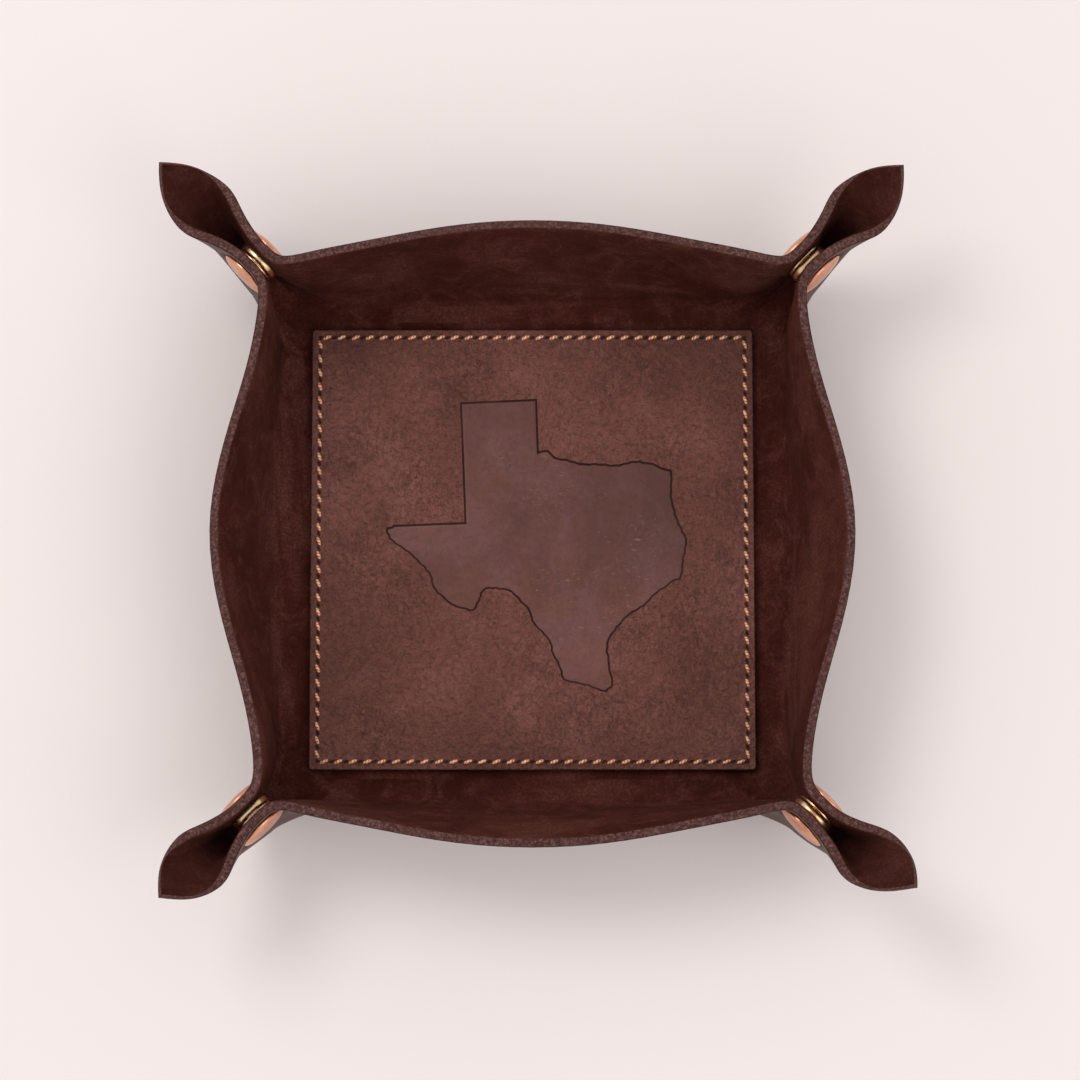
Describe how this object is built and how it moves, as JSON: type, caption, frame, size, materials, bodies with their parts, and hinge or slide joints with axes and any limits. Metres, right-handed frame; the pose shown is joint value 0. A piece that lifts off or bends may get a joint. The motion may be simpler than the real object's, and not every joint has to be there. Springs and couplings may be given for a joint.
{
  "type": "valet tray",
  "caption": "Shallow square valet tray folded from one thick leather sheet, corners pinched by snap fasteners into leaf-shaped ears, with a stitched base panel pressed with a map outline.",
  "frame": {"origin": "centre of the flat underside, where the tray rests", "axes": "+Z up out of the open top, +X to the right and +Y up as the map on the base panel reads"},
  "size_m": [0.2038, 0.2038, 0.0511],
  "materials": {
    "tray_leather": "dark brown napped inside, smooth outside",
    "panel_leather": "brown grained, waxed",
    "thread": "waxed tan thread",
    "cap_metal": "copper plated, polished",
    "snap_metal": "plain brass"
  },
  "bodies": {
    "tray": {"tray_body": "tray_leather", "base_panel": "panel_leather", "stitches_back": "thread", "stitches_left": "thread", "stitches_front": "thread", "stitches_right": "thread"},
    "right_wall_snaps": {"socket_cap_back_right": "cap_metal", "socket_back_right": "snap_metal", "stud_front_right": "snap_metal", "stud_cap_front_right": "cap_metal"},
    "back_wall_snaps": {"socket_cap_back_left": "cap_metal", "socket_back_left": "snap_metal", "stud_back_right": "snap_metal", "stud_cap_back_right": "cap_metal"},
    "left_wall_snaps": {"socket_cap_front_left": "cap_metal", "socket_front_left": "snap_metal", "stud_back_left": "snap_metal", "stud_cap_back_left": "cap_metal"},
    "front_wall_snaps": {"socket_cap_front_right": "cap_metal", "socket_front_right": "snap_metal", "stud_front_left": "snap_metal", "stud_cap_front_left": "cap_metal"}
  },
  "joints": [
    {"name": "right_wall_fold", "type": "hinge", "parent": "tray", "child": "right_wall_snaps", "pos_m": [0.072, 0, 0.003], "axis": [0, 1, 0], "range_deg": [0, 20], "deforming": ["tray_body"]},
    {"name": "back_wall_fold", "type": "hinge", "parent": "tray", "child": "back_wall_snaps", "pos_m": [0, 0.072, 0.003], "axis": [-1, 0, 0], "range_deg": [0, 20], "deforming": ["tray_body"]},
    {"name": "left_wall_fold", "type": "hinge", "parent": "tray", "child": "left_wall_snaps", "pos_m": [-0.072, 0, 0.003], "axis": [0, -1, 0], "range_deg": [0, 20], "deforming": ["tray_body"]},
    {"name": "front_wall_fold", "type": "hinge", "parent": "tray", "child": "front_wall_snaps", "pos_m": [0, -0.072, 0.003], "axis": [1, 0, 0], "range_deg": [0, 20], "deforming": ["tray_body"]}
  ]
}
